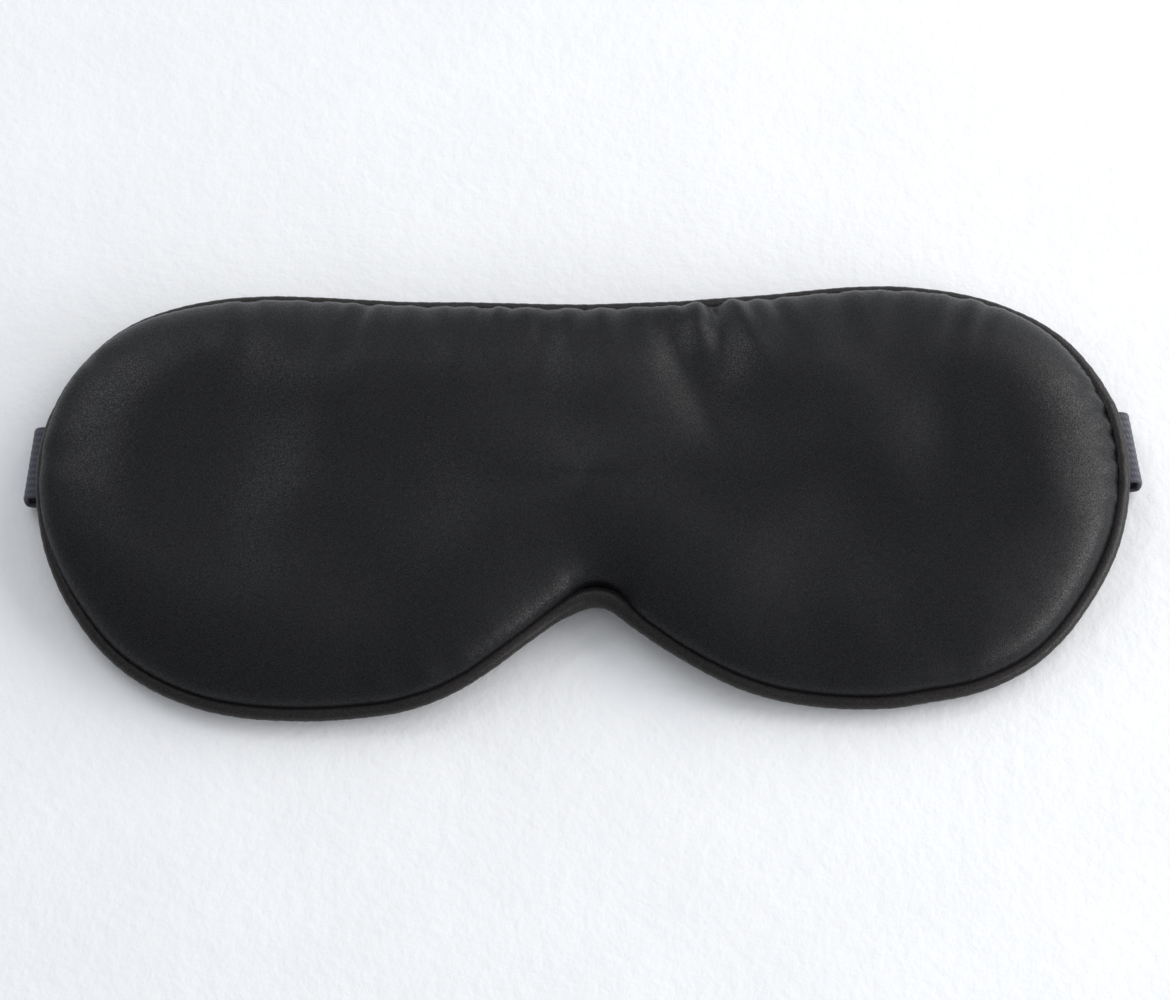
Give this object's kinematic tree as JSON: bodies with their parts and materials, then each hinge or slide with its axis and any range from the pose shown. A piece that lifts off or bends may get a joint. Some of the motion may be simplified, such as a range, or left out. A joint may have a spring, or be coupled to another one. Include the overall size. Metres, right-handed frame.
{
  "type": "padded sleep eye mask",
  "caption": "Padded sleep mask with two rounded lobes, a nose notch, piped edge and an elastic strap with slider folded behind it.",
  "frame": {"origin": "bridge centre line at half the mask's height, on the table plane under the folded strap", "axes": "+X across the mask towards the wearer's left-hand lobe as seen from the front, +Y towards the forehead, +Z out of the satin face"},
  "size_m": [0.2144, 0.0892, 0.0145],
  "materials": {
    "satin_face": "soft satin sheen",
    "satin_back": "soft satin sheen",
    "wadding": "fluffy",
    "blackout_cloth": "matt weave",
    "cotton_cord": "twisted",
    "satin_piping": "soft satin sheen",
    "thread": "spun",
    "elastic": "ribbed",
    "slider_plastic": "moulded"
  },
  "bodies": {
    "strap_back": {"strap_left_back": "elastic", "slider": "slider_plastic", "slider_stitching": "thread"},
    "left_riser": {"strap_left_riser": "elastic"},
    "left_fold": {"strap_left_fold": "elastic"},
    "mask_left": {"front_panel_left": "satin_face", "wadding_left": "wadding", "blackout_lining_left": "blackout_cloth", "back_panel_left": "satin_back", "piping_cord_left": "cotton_cord", "piping_cover_left": "satin_piping", "seam_thread_left": "thread", "strap_left_end": "elastic", "strap_bartack_left": "thread"},
    "mask_right": {"front_panel_right": "satin_face", "wadding_right": "wadding", "blackout_lining_right": "blackout_cloth", "back_panel_right": "satin_back", "piping_cord_right": "cotton_cord", "piping_cover_right": "satin_piping", "seam_thread_right": "thread", "strap_right_end": "elastic", "strap_bartack_right": "thread"},
    "right_fold": {"strap_right_fold": "elastic"},
    "right_riser": {"strap_right_riser": "elastic"},
    "strap_tail": {"strap_right_back": "elastic", "hem_stitching": "thread"}
  },
  "joints": [
    {"name": "strap_open", "type": "hinge", "parent": "strap_back", "child": "left_riser", "pos_m": [-0.02525, 0.0085, 0.0023], "axis": [0, 1, 0], "range_deg": [0, 52]},
    {"name": "left_seam_open", "type": "hinge", "parent": "left_riser", "child": "left_fold", "pos_m": [-0.10525, 0.0085, 0.00385], "axis": [0, 1, 0], "range_deg": [-52, 0], "deforming": ["strap_left_fold"]},
    {"name": "left_seam_tilt", "type": "hinge", "parent": "left_fold", "child": "mask_left", "pos_m": [-0.10525, 0.0085, 0.0046], "axis": [0, 1, 0], "range_deg": [-25, 0]},
    {"name": "bridge_fold", "type": "hinge", "parent": "mask_left", "child": "mask_right", "pos_m": [0, 0.0085, 0.0046], "axis": [0, 1, 0], "range_deg": [0, 50]},
    {"name": "right_seam_tilt", "type": "hinge", "parent": "mask_right", "child": "right_fold", "pos_m": [0.10525, 0.0085, 0.0046], "axis": [0, 1, 0], "range_deg": [-25, 0], "deforming": ["strap_right_fold"]},
    {"name": "right_seam_open", "type": "hinge", "parent": "right_fold", "child": "right_riser", "pos_m": [0.10525, 0.0085, 0.00295], "axis": [0, 1, 0], "range_deg": [-52, 0]},
    {"name": "right_bend", "type": "hinge", "parent": "right_riser", "child": "strap_tail", "pos_m": [0.02525, 0.0085, 0.0014], "axis": [0, 1, 0], "range_deg": [0, 52]}
  ],
  "couplings": [
    {"joint": "left_seam_open", "follows": "strap_open", "ratio": -1},
    {"joint": "right_seam_open", "follows": "strap_open", "ratio": -1},
    {"joint": "right_bend", "follows": "strap_open", "ratio": 1},
    {"joint": "left_seam_tilt", "follows": "bridge_fold", "ratio": -0.5},
    {"joint": "right_seam_tilt", "follows": "bridge_fold", "ratio": -0.5}
  ]
}
